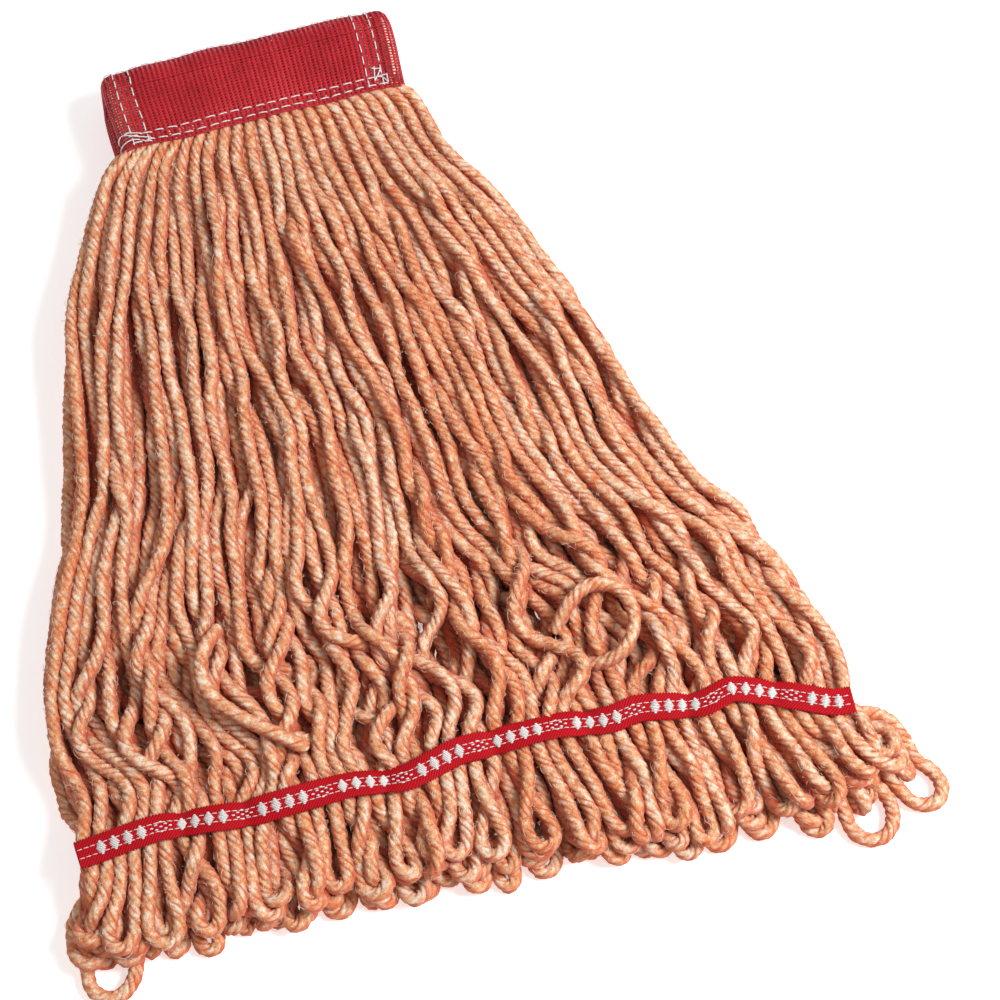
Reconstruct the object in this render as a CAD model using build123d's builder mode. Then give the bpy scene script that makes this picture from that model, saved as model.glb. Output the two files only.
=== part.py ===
"""Looped-end string mop head, folded over at its headband and lying flat.

X runs along the headband, +Y points from the looped ends to the fold, +Z is up.
The origin is on the floor, under the centre of the head's box. Millimetres.
"""

import math
import os

from build123d import *

os.makedirs("parts", exist_ok=True)

# Headband: an open mesh sleeve round the yarn, folded in two over a clamp bar
band_length = 152.0
leg_length = 38.0
leg_thickness = 15.0
mesh_thickness = 0.8
end_radius = 7.2
channel_gap = 6.0
fold_outer_y = 245.0
floor_gap = 0.5
core_clearance = 0.05

fold_radius = channel_gap / 2 + leg_thickness
fold_y = fold_outer_y - fold_radius
band_edge_y = fold_y - leg_length
fold_z = floor_gap + fold_radius
leg_centre = channel_gap / 2 + leg_thickness / 2
lower_leg_z = fold_z - leg_centre
upper_leg_z = fold_z + leg_centre

# Lockstitch in the headband
thread_width = 0.7
thread_height = 0.4
stitch_length = 5.0
stitch_pitch = 6.9
edge_row_setbacks = (3.0, 8.0)
end_row_setbacks = (9.0, 17.0)
fold_row_angle = 35.0

# Yarn skirts: stations along Y, each with its half width, the height where the two skirts meet
# and the top of the upper skirt
yarn_diameter = 7.0
bundle_count = 8
bundle_gap = 0.4
skirt_gap = 0.3
tape_room = 1.25
bundle_corner = 2.5
skirt_start_y = band_edge_y - skirt_gap
skirt_stations = [
    (skirt_start_y, 75.0, fold_z, 36.3),
    (160.0, 100.0, fold_z, 37.0),
    (112.0, 119.0, 18.0, 36.5),
    (45.0, 143.0, 17.0, 34.5),
    (-32.0, 167.0, 16.0, 32.0),
    (-106.0, 183.0, 15.0, 30.0),
    (-150.0, 188.0, 14.5, 29.0),
]
tape_stations_y = (-157.0, -199.0)
tape_station_width = 189.5
tape_mid_z = 14.25
tape_top_z = 28.5
loop_station = (-206.0, 190.0, 14.0, 28.0)
loop_end_half_width = 190.0
loop_end_top_z = 24.0
loop_end_y = -229.0
loop_end_slant = 16.0
upper_loops_shorter = 4.0

# Tail band: a woven tape on each face of each skirt, sewn through the yarn
tape_width = 12.0
tape_thickness = 0.9
tape_clearance = 0.1
tape_route = [(-187.0, -164.0), (60.0, -168.0), (187.0, -190.0)]
tape_bend_radius = 300.0
tape_row_offset = 2.2


def save(piece, name):
    """Label a finished piece and write its STEP file."""
    piece.part.label = name
    export_step(piece.part, f"parts/{name}.step")


# ---------------------------------------------------------------- headband legs and fold


def leg_section(plane, inset):
    """The flattened section of a headband leg, inset from the mesh's outer face."""
    with BuildSketch(plane) as section:
        RectangleRounded(
            band_length - 2 * inset, leg_thickness - 2 * inset, end_radius - inset
        )
    return section.sketch


def leg_plane(height):
    """The plane across a leg at the headband's lower edge."""
    return Plane(origin=(0, band_edge_y, height), x_dir=(1, 0, 0), z_dir=(0, 1, 0))


def headband_mesh(height):
    """One leg's mesh sleeve, open at the fold and at the lower edge."""
    with BuildPart() as sleeve:
        extrude(leg_section(leg_plane(height), 0), amount=leg_length)
        extrude(
            leg_section(leg_plane(height), mesh_thickness),
            amount=leg_length,
            mode=Mode.SUBTRACT,
        )
    return sleeve


def headband_yarn(height):
    """The pressed yarn inside one leg's sleeve."""
    with BuildPart() as core:
        extrude(
            leg_section(leg_plane(height), mesh_thickness + core_clearance),
            amount=leg_length,
        )
    return core


lower_headband_mesh = headband_mesh(lower_leg_z)
save(lower_headband_mesh, "lower_headband_mesh")
upper_headband_mesh = headband_mesh(upper_leg_z)
save(upper_headband_mesh, "upper_headband_mesh")
lower_headband_yarn = headband_yarn(lower_leg_z)
save(lower_headband_yarn, "lower_headband_yarn")
upper_headband_yarn = headband_yarn(upper_leg_z)
save(upper_headband_yarn, "upper_headband_yarn")

fold_axis = Axis((0, fold_y, fold_z), (1, 0, 0))
fold_plane = Plane(
    origin=(0, fold_y, lower_leg_z), x_dir=(1, 0, 0), z_dir=(0, 1, 0)
)

with BuildPart() as fold_mesh:
    revolve(leg_section(fold_plane, 0), axis=fold_axis, revolution_arc=180)
    revolve(
        leg_section(fold_plane, mesh_thickness),
        axis=fold_axis,
        revolution_arc=180,
        mode=Mode.SUBTRACT,
    )
save(fold_mesh, "fold_mesh")

with BuildPart() as fold_yarn:
    revolve(
        leg_section(fold_plane, mesh_thickness + core_clearance),
        axis=fold_axis,
        revolution_arc=180,
    )
save(fold_yarn, "fold_yarn")

# ---------------------------------------------------------------- headband seams

edge_stitch_count = int((band_length - 2 * end_radius) / stitch_pitch)


def stitch_rows(planes):
    """One node of stitches: the same row of short threads along X on each plane."""
    with BuildPart() as rows:
        for plane in planes:
            with BuildSketch(plane):
                with GridLocations(stitch_pitch, 1, edge_stitch_count, 1):
                    Rectangle(stitch_length, thread_width)
            extrude(amount=thread_height)
    return rows


def outer_face(height, outwards, y):
    """The outside face of a leg: outwards is 1 for the upper leg and -1 for the lower."""
    return Plane(
        origin=(0, y, height + outwards * leg_thickness / 2),
        x_dir=(1, 0, 0),
        z_dir=(0, 0, outwards),
    )


def edge_seam(height, outwards):
    """The two rows along the headband's lower edge."""
    planes = [
        outer_face(height, outwards, band_edge_y + setback)
        for setback in edge_row_setbacks
    ]
    return stitch_rows(planes)


def end_seams(height, outwards):
    """The two rows across the leg at each end of the headband."""
    first_y = band_edge_y + edge_row_setbacks[1] + stitch_pitch / 2
    count = int((fold_y - first_y) / stitch_pitch)
    centre_y = first_y + count * stitch_pitch / 2
    with BuildPart() as rows:
        for setback in end_row_setbacks:
            with BuildSketch(outer_face(height, outwards, centre_y)):
                with GridLocations(
                    band_length - 2 * setback, stitch_pitch, 2, count
                ):
                    Rectangle(thread_width, stitch_length)
            extrude(amount=thread_height)
    return rows


lower_band_edge_seam = edge_seam(lower_leg_z, -1)
save(lower_band_edge_seam, "lower_band_edge_seam")
upper_band_edge_seam = edge_seam(upper_leg_z, 1)
save(upper_band_edge_seam, "upper_band_edge_seam")
lower_band_end_seams = end_seams(lower_leg_z, -1)
save(lower_band_end_seams, "lower_band_end_seams")
upper_band_end_seams = end_seams(upper_leg_z, 1)
save(upper_band_end_seams, "upper_band_end_seams")

fold_row_y = math.cos(math.radians(fold_row_angle))
fold_row_z = math.sin(math.radians(fold_row_angle))
fold_row_plane = Plane(
    origin=(0, fold_y + fold_radius * fold_row_y, fold_z + fold_radius * fold_row_z),
    x_dir=(1, 0, 0),
    z_dir=(0, fold_row_y, fold_row_z),
)
fold_seam = stitch_rows([fold_row_plane])
save(fold_seam, "fold_seam")


def backtack(points):
    """A zigzag of thread on the upper leg's outside face, from point to point."""
    top_z = upper_leg_z + leg_thickness / 2
    with BuildPart() as tack:
        for start, end in zip(points, points[1:]):
            run = Vector(*end) - Vector(*start)
            centre = (Vector(*end) + Vector(*start)) / 2
            with BuildSketch(
                Plane(
                    origin=(centre.X, centre.Y, top_z),
                    x_dir=(run.X, run.Y, 0),
                    z_dir=(0, 0, 1),
                )
            ):
                Rectangle(run.length + thread_width, thread_width)
            extrude(amount=thread_height)
    return tack


left_backtack = backtack([(-66, 196.6), (-55, 190.4), (-63, 190.4), (-52, 194.6)])
save(left_backtack, "left_backtack")
right_backtack = backtack([(57, 200.6), (63, 190.4), (66, 200.6), (55, 194.6)])
save(right_backtack, "right_backtack")

# ---------------------------------------------------------------- yarn skirts


def bundle_section(y, left, right, low, high):
    """The rounded section of one bundle at a station along the skirt."""
    with BuildSketch(Plane.XZ.offset(-y)) as section:
        with Locations(((left + right) / 2, (low + high) / 2)):
            RectangleRounded(right - left - bundle_gap, high - low, bundle_corner)
    return section.sketch


def skirt_heights(upper, mid, top, at_tape):
    """A skirt's lower and upper face at a station, with room for the tapes."""
    room = tape_room if at_tape else skirt_gap
    outside = tape_room - skirt_gap if at_tape else 0.0
    if upper:
        return mid + room, top
    return outside, mid - room


def channel_heights(upper):
    """A skirt's faces at the headband, where it fills the leg behind it."""
    half = leg_thickness / 2 - mesh_thickness
    centre = upper_leg_z if upper else lower_leg_z
    return centre - half, centre + half


def yarn_bundle(index, upper):
    """One of the side by side bundles of strands, from the headband to its loops."""
    left_share = -1 + 2 * index / bundle_count
    right_share = -1 + 2 * (index + 1) / bundle_count
    slant = loop_end_slant * (left_share + right_share) / 2 * bundle_count / (
        bundle_count - 1
    )
    end_y = loop_end_y - slant + (upper_loops_shorter if upper else 0)
    stations = [(y, w, mid, top, False) for y, w, mid, top in skirt_stations]
    for y in tape_stations_y:
        stations.append((y, tape_station_width, tape_mid_z, tape_top_z, True))
    stations.append((*loop_station, False))
    stations.append(
        (end_y, loop_end_half_width, loop_station[2], loop_end_top_z, False)
    )
    with BuildPart() as bundle:
        sections = []
        for y, half_width, mid, top, at_tape in stations:
            low, high = skirt_heights(upper, mid, top, at_tape)
            if y == skirt_start_y:
                low, high = channel_heights(upper)
            sections.append(
                bundle_section(
                    y, left_share * half_width, right_share * half_width, low, high
                )
            )
        loft(sections, ruled=True)
    return bundle


for index in range(bundle_count):
    lower_bundle = yarn_bundle(index, upper=False)
    save(lower_bundle, f"lower_yarn_{index + 1}")
    upper_bundle = yarn_bundle(index, upper=True)
    save(upper_bundle, f"upper_yarn_{index + 1}")

# ---------------------------------------------------------------- tail bands


def tape_strip(height, thickness, width, offsets):
    """Strips that follow the tail band's route, bottom face at the given height."""
    with BuildPart() as strip:
        with BuildLine() as route:
            FilletPolyline(*tape_route, radius=tape_bend_radius)
        across = Plane(
            origin=route.line @ 0, x_dir=(0, 0, 1), z_dir=route.line % 0
        )
        with BuildSketch(across):
            with Locations(*[(height + thickness / 2, offset) for offset in offsets]):
                Rectangle(thickness, width)
        sweep(path=route.line)
    return strip


upper_tape_z = tape_top_z + tape_clearance
upper_tail_tape_top = tape_strip(upper_tape_z, tape_thickness, tape_width, [0])
save(upper_tail_tape_top, "upper_tail_tape_top")
upper_tail_tape_under = tape_strip(
    tape_mid_z + tape_room - tape_clearance - tape_thickness,
    tape_thickness,
    tape_width,
    [0],
)
save(upper_tail_tape_under, "upper_tail_tape_under")
lower_tail_tape_top = tape_strip(
    tape_mid_z - tape_room + tape_clearance, tape_thickness, tape_width, [0]
)
save(lower_tail_tape_top, "lower_tail_tape_top")
lower_tail_tape_floor = tape_strip(0, tape_thickness, tape_width, [0])
save(lower_tail_tape_floor, "lower_tail_tape_floor")

tape_rows = [-tape_row_offset, tape_row_offset]
upper_tail_stitching = tape_strip(
    upper_tape_z + tape_thickness, thread_height, thread_width, tape_rows
)
save(upper_tail_stitching, "upper_tail_stitching")

# ---------------------------------------------------------------- stray strands and loops

# Each route is the centre line of one free length of yarn, from where it leaves the skirt
# to where it goes back in.
stray_routes = {
    "stray_strand_left": [
        (-112, 122, 7), (-121, 112, 5), (-130, 97, 3.7), (-138, 77, 3.7),
        (-146, 55, 3.7), (-152, 33, 3.7), (-158, 12, 3.7), (-161, -8, 4.5),
        (-158, -25, 7),
    ],
    "stray_loop_left": [
        (-176, -205, 7), (-185, -213, 5), (-190, -224, 3.7), (-186, -235, 3.7),
        (-176, -237, 3.7), (-168, -230, 3.7), (-165, -219, 4), (-167, -208, 6),
    ],
    "stray_loop_right": [
        (180, -238, 7), (181, -249, 4.5), (185, -259, 3.7), (194, -263, 3.7),
        (202, -257, 3.7), (204, -247, 3.7), (201, -237, 3.8), (193, -230, 5.5),
        (183, -227, 7),
    ],
    "tape_end_loop": [
        (181, -205, 20), (194, -202, 19), (207, -199, 13), (217, -203, 6),
        (221, -213, 3.7), (222, -224, 3.7), (229, -233, 3.7), (230, -243, 3.7),
        (222, -249, 3.7), (213, -244, 3.7), (207, -234, 5), (198, -224, 12),
        (186, -216, 20),
    ],
    "slack_loop_left": [
        (-90, -78, 26), (-97, -86, 33), (-103, -98, 34.2), (-101, -112, 33.9),
        (-92, -124, 33.6), (-81, -134, 33.4), (-71, -142, 32), (-63, -148, 26),
    ],
    "slack_loop_right": [
        (68, -124, 25), (76, -115, 32.5), (87, -108, 34), (99, -109, 34),
        (107, -119, 33.7), (107, -132, 33.4), (99, -142, 33.2), (87, -146, 31.5),
        (77, -143, 25),
    ],
}


# The most of a straight run that the arc at one of its ends may take
arc_share = 0.45


def corner_radii(points):
    """The radius of each corner's arc, as large as the shorter run beside it allows."""
    corners = [Vector(*point) for point in points]
    radii = []
    for before, corner, after in zip(corners, corners[1:], corners[2:]):
        run_in = corner - before
        run_out = after - corner
        half_turn = math.radians(run_in.get_angle(run_out)) / 2
        shorter = min(run_in.length, run_out.length)
        radii.append(arc_share * shorter / math.tan(half_turn))
    return radii


def stray_yarn(points):
    """A tube of yarn along straight runs joined by tangent arcs."""
    with BuildPart() as tube:
        with BuildLine() as route:
            FilletPolyline(*points, radius=corner_radii(points))
        with BuildSketch(Plane(origin=route.line @ 0, z_dir=route.line % 0)):
            Circle(yarn_diameter / 2)
        sweep(path=route.line)
    return tube, sum(edge.length for edge in route.edges())


for name, points in stray_routes.items():
    stray, length = stray_yarn(points)
    save(stray, name)
    section_volume = math.pi * yarn_diameter**2 / 4 * length
    radii = ", ".join(f"{radius:.0f}" for radius in corner_radii(points))
    print(
        f"{name}: length {length:.0f} mm, radii {radii} mm, "
        f"volume {stray.part.volume / section_volume:.3f} of section times length"
    )
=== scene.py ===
"""Looks of the string mop head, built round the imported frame.

Lengths are in millimetres inside the functions and become metres when a mesh is made.
"""

import math

import bpy
import numpy as np
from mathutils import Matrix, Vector


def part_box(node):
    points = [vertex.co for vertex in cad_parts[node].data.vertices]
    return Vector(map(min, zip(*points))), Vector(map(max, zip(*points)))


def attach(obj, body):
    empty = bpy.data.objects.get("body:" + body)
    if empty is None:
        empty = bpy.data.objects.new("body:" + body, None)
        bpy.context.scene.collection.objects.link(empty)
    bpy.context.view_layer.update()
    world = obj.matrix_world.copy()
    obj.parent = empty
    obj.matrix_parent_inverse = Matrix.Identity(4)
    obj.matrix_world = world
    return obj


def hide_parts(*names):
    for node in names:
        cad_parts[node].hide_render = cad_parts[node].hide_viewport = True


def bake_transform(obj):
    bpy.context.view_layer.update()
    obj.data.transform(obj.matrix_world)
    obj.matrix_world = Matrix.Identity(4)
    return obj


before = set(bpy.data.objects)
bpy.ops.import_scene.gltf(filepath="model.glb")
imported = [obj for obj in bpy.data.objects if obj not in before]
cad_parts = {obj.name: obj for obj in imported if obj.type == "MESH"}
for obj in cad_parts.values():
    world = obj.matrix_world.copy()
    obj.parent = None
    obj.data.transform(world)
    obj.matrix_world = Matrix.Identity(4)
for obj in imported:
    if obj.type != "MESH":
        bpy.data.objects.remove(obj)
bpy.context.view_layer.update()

MM = 0.001
rng = np.random.default_rng(31)

# ---------------------------------------------------------------- camera, lights and floor

VIEW_AZIMUTH = math.radians(-15.93)
VIEW_ELEVATION = math.radians(68.08)
VIEW_DISTANCE = 1.2
VIEW_TARGET = Vector((0.0621, -0.0479, 0.020))
LENS_MM = 86.27

level = math.cos(VIEW_ELEVATION)
back = Vector((math.sin(VIEW_AZIMUTH) * level, -math.cos(VIEW_AZIMUTH) * level, math.sin(VIEW_ELEVATION)))
camera_data = bpy.data.cameras.new("camera")
camera_data.lens = LENS_MM
camera_data.sensor_width = 36.0
camera = bpy.data.objects.new("camera", camera_data)
camera.location = VIEW_TARGET + back * VIEW_DISTANCE
camera.rotation_mode = "QUATERNION"
camera.rotation_quaternion = (-back).to_track_quat("-Z", "Y")
bpy.context.scene.collection.objects.link(camera)
bpy.context.scene.camera = camera
bpy.context.scene.view_settings.view_transform = "Standard"


def softbox(name, place, size, watts, colour):
    """A large square light aimed at the middle of the mop."""
    data = bpy.data.lights.new(name, "AREA")
    data.shape = "SQUARE"
    data.size = size
    data.energy = watts
    data.color = colour
    light = bpy.data.objects.new(name, data)
    light.location = place
    light.rotation_mode = "QUATERNION"
    light.rotation_quaternion = (-Vector(place)).to_track_quat("-Z", "Y")
    bpy.context.scene.collection.objects.link(light)


softbox("light_left", (-1.5, 1.3, 1.9), 1.0, 4.0, (1.0, 0.92, 0.84))
softbox("light_right", (1.1, -0.38, 1.3), 0.65, 32.5, (0.98, 1.0, 1.0))

world = bpy.data.worlds.new("studio")
bpy.context.scene.world = world
world.use_nodes = True
world.node_tree.nodes["Background"].inputs["Color"].default_value = (1, 1, 1, 1)
world.node_tree.nodes["Background"].inputs["Strength"].default_value = 0.4

# ---------------------------------------------------------------- mesh helpers


def unit(vectors):
    """The vectors at length one."""
    size = np.linalg.norm(vectors, axis=-1, keepdims=True)
    return vectors / np.maximum(size, 1e-9)


def smoothstep(t):
    """0 below 0, 1 above 1 and a smooth rise between."""
    t = np.clip(t, 0.0, 1.0)
    return t * t * (3 - 2 * t)


def mesh_piece(name, points, faces, material, attributes=(), flat=0):
    """A mesh object from points in millimetres and arrays of faces, each with one face size.

    The last faces, as many as flat says, are shaded flat and the others smooth.
    """
    mesh = bpy.data.meshes.new(name)
    mesh.vertices.add(len(points))
    mesh.vertices.foreach_set("co", (points * MM).astype(np.float32).ravel())
    corners = np.concatenate([part.ravel() for part in faces]).astype(np.int32)
    sizes = np.concatenate([np.full(len(part), part.shape[1]) for part in faces])
    starts = np.concatenate([[0], np.cumsum(sizes)[:-1]]).astype(np.int32)
    mesh.loops.add(len(corners))
    mesh.loops.foreach_set("vertex_index", corners)
    mesh.polygons.add(len(sizes))
    mesh.polygons.foreach_set("loop_start", starts)
    mesh.polygons.foreach_set("use_smooth", np.arange(len(sizes)) < len(sizes) - flat)
    for label, kind, values in attributes:
        layer = mesh.attributes.new(label, kind, "POINT")
        field = "vector" if kind == "FLOAT_VECTOR" else "value"
        layer.data.foreach_set(field, values.astype(np.float32).ravel())
    mesh.update(calc_edges=True)
    mesh.materials.append(material)
    piece = bpy.data.objects.new(name, mesh)
    bpy.context.scene.collection.objects.link(piece)
    return piece


def corner_faces(*corners):
    """Faces from the numbers of their corners' points, one array for each corner."""
    return np.stack(corners, axis=-1).reshape(-1, len(corners))


def tube_faces(index):
    """The faces round tubes, from the numbers of their points, each ring in a row."""
    near, far = index[..., :-1, :], index[..., 1:, :]
    return corner_faces(near, np.roll(near, -1, -1), np.roll(far, -1, -1), far)


def evenly(points, count):
    """A line's points again, the given number of them, evenly spaced along it."""
    steps = np.linalg.norm(np.diff(points, axis=0), axis=1)
    along = np.concatenate([[0], np.cumsum(steps)])
    at = np.linspace(0, along[-1], count)
    return np.stack([np.interp(at, along, points[:, k]) for k in range(3)], axis=1)


def line_length(points):
    """The length of a line of points."""
    return float(np.linalg.norm(np.diff(points, axis=0), axis=1).sum())


def through(nodes, finer):
    """A smooth line through a chain's nodes, with that many points to each run."""
    padded = np.concatenate([[2 * nodes[0] - nodes[1]], nodes, [2 * nodes[-1] - nodes[-2]]])
    t = (np.arange(finer) / finer)[None, :, None]
    ends = (padded[:-3], padded[1:-2], padded[2:-1], padded[3:])
    p0, p1, p2, p3 = (p[:, None, :] for p in ends)
    square = (2 * p0 - 5 * p1 + 4 * p2 - p3) * t**2
    cube = (3 * p1 - p0 - 3 * p2 + p3) * t**3
    line = 0.5 * (2 * p1 + (p2 - p0) * t + square + cube)
    return np.concatenate([line.reshape(-1, 3), nodes[-1:]])


def ring_directions(line, angle):
    """Directions out from a line at its rings' angles, from frames that turn as little as they can."""
    tangents = unit(np.gradient(line, axis=0))
    helper = [0.0, 0.0, 1.0] if abs(tangents[0, 2]) < 0.9 else [1.0, 0.0, 0.0]
    normal = unit(np.cross(tangents[0], helper))
    normals = np.empty_like(line)
    for k, tangent in enumerate(tangents):
        normal = unit(normal - (normal * tangent).sum() * tangent)
        normals[k] = normal
    sides = np.cross(tangents, normals)
    return np.cos(angle)[..., None] * normals[:, None] + np.sin(angle)[..., None] * sides[:, None]


# ---------------------------------------------------------------- materials


def new_tree(name):
    """A new node material and its tree."""
    material = bpy.data.materials.new(name)
    material.use_nodes = True
    return material, material.node_tree


def node(tree, kind, output, inputs=(), **settings):
    """A node's output. Its inputs are each a value or another node's output."""
    made = tree.nodes.new(kind)
    for key, value in settings.items():
        setattr(made, key, value)
    for key, value in dict(inputs).items():
        if isinstance(value, bpy.types.NodeSocket):
            tree.links.new(value, made.inputs[key])
        else:
            made.inputs[key].default_value = value
    return made.outputs[output]


def noise(tree, place, scale, detail, roughness=0.5):
    """A noise texture's value at a place."""
    inputs = {"Vector": place, "Scale": scale, "Detail": detail, "Roughness": roughness}
    return node(tree, "ShaderNodeTexNoise", "Fac", inputs)


def maths(tree, operation, first, second):
    """One sum of two values."""
    return node(tree, "ShaderNodeMath", "Value", {0: first, 1: second}, operation=operation)


def mix(tree, kind, factor, first, second):
    """A mix of two colours or two values."""
    inputs = {"Factor": factor, "A": first, "B": second}
    return node(tree, "ShaderNodeMix", "Result", inputs, data_type=kind)


def ramp(tree, factor, *stops):
    """A colour ramp through the stops, each a place and a linear colour."""
    made = tree.nodes.new("ShaderNodeValToRGB")
    tree.links.new(factor, made.inputs["Fac"])
    elements = made.color_ramp.elements
    while len(elements) < len(stops):
        elements.new(0.5)
    for element, (place, colour) in zip(elements, stops):
        element.position = place
        element.color = (*colour, 1.0)
    return made.outputs["Color"]


def linear(red, green, blue):
    """A linear colour from one given as it looks on screen, 0 to 255."""
    return tuple(
        c / 12.92 if c <= 0.04045 else ((c + 0.055) / 1.055) ** 2.4
        for c in (red / 255, green / 255, blue / 255)
    )


def dress(tree, colour, values, bump=None):
    """Gives the shader its colour, its plain values and a bump: height, strength and distance."""
    shader = tree.nodes["Principled BSDF"]
    tree.links.new(colour, shader.inputs["Base Color"])
    for key, value in values.items():
        shader.inputs[key].default_value = value
    if bump:
        inputs = dict(zip(("Height", "Strength", "Distance"), bump))
        tree.links.new(node(tree, "ShaderNodeBump", "Normal", inputs), shader.inputs["Normal"])


def yarn_material():
    """Soft heathered yarn: peach and orange fibres with pale ones among them."""
    material, tree = new_tree("yarn_peach_heather")
    place = node(tree, "ShaderNodeAttribute", "Vector", attribute_name="yarn_place")
    tone = node(tree, "ShaderNodeAttribute", "Fac", attribute_name="tone")
    painted_shade = node(tree, "ShaderNodeAttribute", "Fac", attribute_name="painted_shade")
    along_yarn = {"Vector": place, "Scale": (0.9, 1.15, 1.15)}
    fibre_place = node(tree, "ShaderNodeMapping", "Vector", along_yarn)
    fibres = noise(tree, fibre_place, 1.15, 5.0, 0.66)
    blotches = noise(tree, place, 0.3, 2.0)
    # The tone attribute holds each strand's random tone plus painted light: paler strand faces, and paler
    # core yarn at the sleeve's ends.
    toned = maths(tree, "ADD", maths(tree, "ADD", fibres, blotches), tone)
    heather = ramp(
        tree,
        maths(tree, "MULTIPLY", toned, 0.5),
        (0.36, linear(204, 98, 44)),
        (0.45, linear(225, 138, 84)),
        (0.54, linear(238, 178, 132)),
        (0.64, linear(250, 230, 206)),
    )
    fleck_noise = noise(tree, fibre_place, 2.2, 2.0)
    flecks = ramp(tree, fleck_noise, (0.62, (0.0, 0.0, 0.0)), (0.72, (0.7, 0.7, 0.7)))
    pale = mix(tree, "RGBA", flecks, heather, (*linear(252, 234, 218), 1.0))
    # Painted shade: the attribute mixed in here darkens the yarn to a deep orange-red in the ply grooves,
    # on the strands' sides and deep in the pile.
    with_painted_shade = mix(tree, "RGBA", painted_shade, pale, (*linear(194, 62, 18), 1.0))
    values = {
        "Roughness": 0.95,
        "Specular IOR Level": 0.15,
        "Sheen Weight": 0.5,
        "Sheen Roughness": 0.6,
        "Sheen Tint": (*linear(255, 226, 206), 1.0),
    }
    dress(tree, with_painted_shade, values, (fibres, 0.9, 0.0008))
    return material


def coated_mesh_material():
    """Vinyl-coated polyester net: deep red, a little glossy, with fine filaments in it."""
    material, tree = new_tree("net_red_vinyl")
    place = node(tree, "ShaderNodeTexCoord", "Object")
    grain = noise(tree, place, 900.0, 3.0, 0.6)
    mixed = mix(tree, "FLOAT", 0.45, grain, noise(tree, place, 45.0, 3.0))
    stops = ((0.32, linear(142, 6, 24)), (0.50, linear(190, 18, 38)), (0.66, linear(212, 44, 58)))
    values = {"Roughness": 0.52, "Specular IOR Level": 0.4}
    dress(tree, ramp(tree, mixed, *stops), values, (grain, 0.35, 0.0004))
    return material


def tape_material():
    """Red twill tape: fine slanting ribs and a soft shine."""
    material, tree = new_tree("tape_red_twill")
    place = node(tree, "ShaderNodeAttribute", "Vector", attribute_name="tape_place")
    slant = {"Vector": place, "Rotation": (0.0, 0.0, math.radians(38))}
    slanted = node(tree, "ShaderNodeMapping", "Vector", slant)
    twill = {"Vector": slanted, "Scale": 0.27, "Distortion": 0.8, "Detail": 2.0}
    ribs = node(tree, "ShaderNodeTexWave", "Fac", twill, wave_profile="SIN")
    mixed = mix(tree, "FLOAT", 0.62, ribs, noise(tree, place, 2.6, 3.0, 0.6))
    stops = ((0.25, linear(120, 0, 12)), (0.48, linear(176, 2, 18)), (0.75, linear(208, 16, 32)))
    values = {"Roughness": 0.66, "Specular IOR Level": 0.15}
    dress(tree, ramp(tree, mixed, *stops), values, (mixed, 0.8, 0.0004))
    return material


def thread_material():
    """White twisted polyester thread."""
    material, tree = new_tree("thread_white")
    place = node(tree, "ShaderNodeTexCoord", "Object")
    strands = noise(tree, place, 2200.0, 2.0)
    colour = ramp(tree, strands, (0.35, linear(206, 198, 196)), (0.6, linear(246, 243, 240)))
    dress(tree, colour, {"Roughness": 0.5, "Sheen Weight": 0.2}, (strands, 0.5, 0.0002))
    return material


def floor_material():
    """A matt near-white studio floor with a faint grain."""
    material, tree = new_tree("studio_floor")
    grain = noise(tree, node(tree, "ShaderNodeTexCoord", "Object"), 6.0, 2.0)
    colour = ramp(tree, grain, (0.3, (0.93, 0.93, 0.93)), (0.7, (0.95, 0.95, 0.95)))
    values = {
        "Roughness": 0.9,
        "Specular IOR Level": 0.1,
        "Emission Color": (1.0, 1.0, 1.0, 1.0),
        "Emission Strength": 0.5,
    }
    dress(tree, colour, values)
    return material


YARN = yarn_material()
NET = coated_mesh_material()
TAPE = tape_material()
THREAD = thread_material()

FLOOR_HALF = 4000.0
floor_corners = FLOOR_HALF * np.array([[-1, -1, 0], [1, -1, 0], [1, 1, 0], [-1, 1, 0]])
floor = mesh_piece("floor", floor_corners, [np.array([[0, 1, 2, 3]])], floor_material())

# ---------------------------------------------------------------- twisted yarn tubes

PLIES = 5
PLY_DIP = np.array([0.0, 0.2, 1.0, 0.2])
YARN_SIDES = PLIES * len(PLY_DIP)
GROOVE_DEPTH = 0.17
MEAN_RADIUS = 1.03
ON_FLOOR = 0.05
SIDE_SHADE = 0.88
MOST_SHADE = 0.9
CREST_PAINTED_LIGHT = 0.16
TWIST_PER_MM = -math.radians(17)
RING_STEP = 1.25
LOWER_RING_STEP = 1.55


def soft_noise(rings, columns, run):
    """Smooth random values, about -1 to 1, changing over that many rings."""
    values = rng.uniform(-1.0, 1.0, (rings // run + 3, columns))
    at = np.arange(rings) / run
    first = at.astype(int)
    blend = smoothstep(at - first)[:, None]
    return values[first] * (1 - blend) + values[first + 1] * blend


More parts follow.
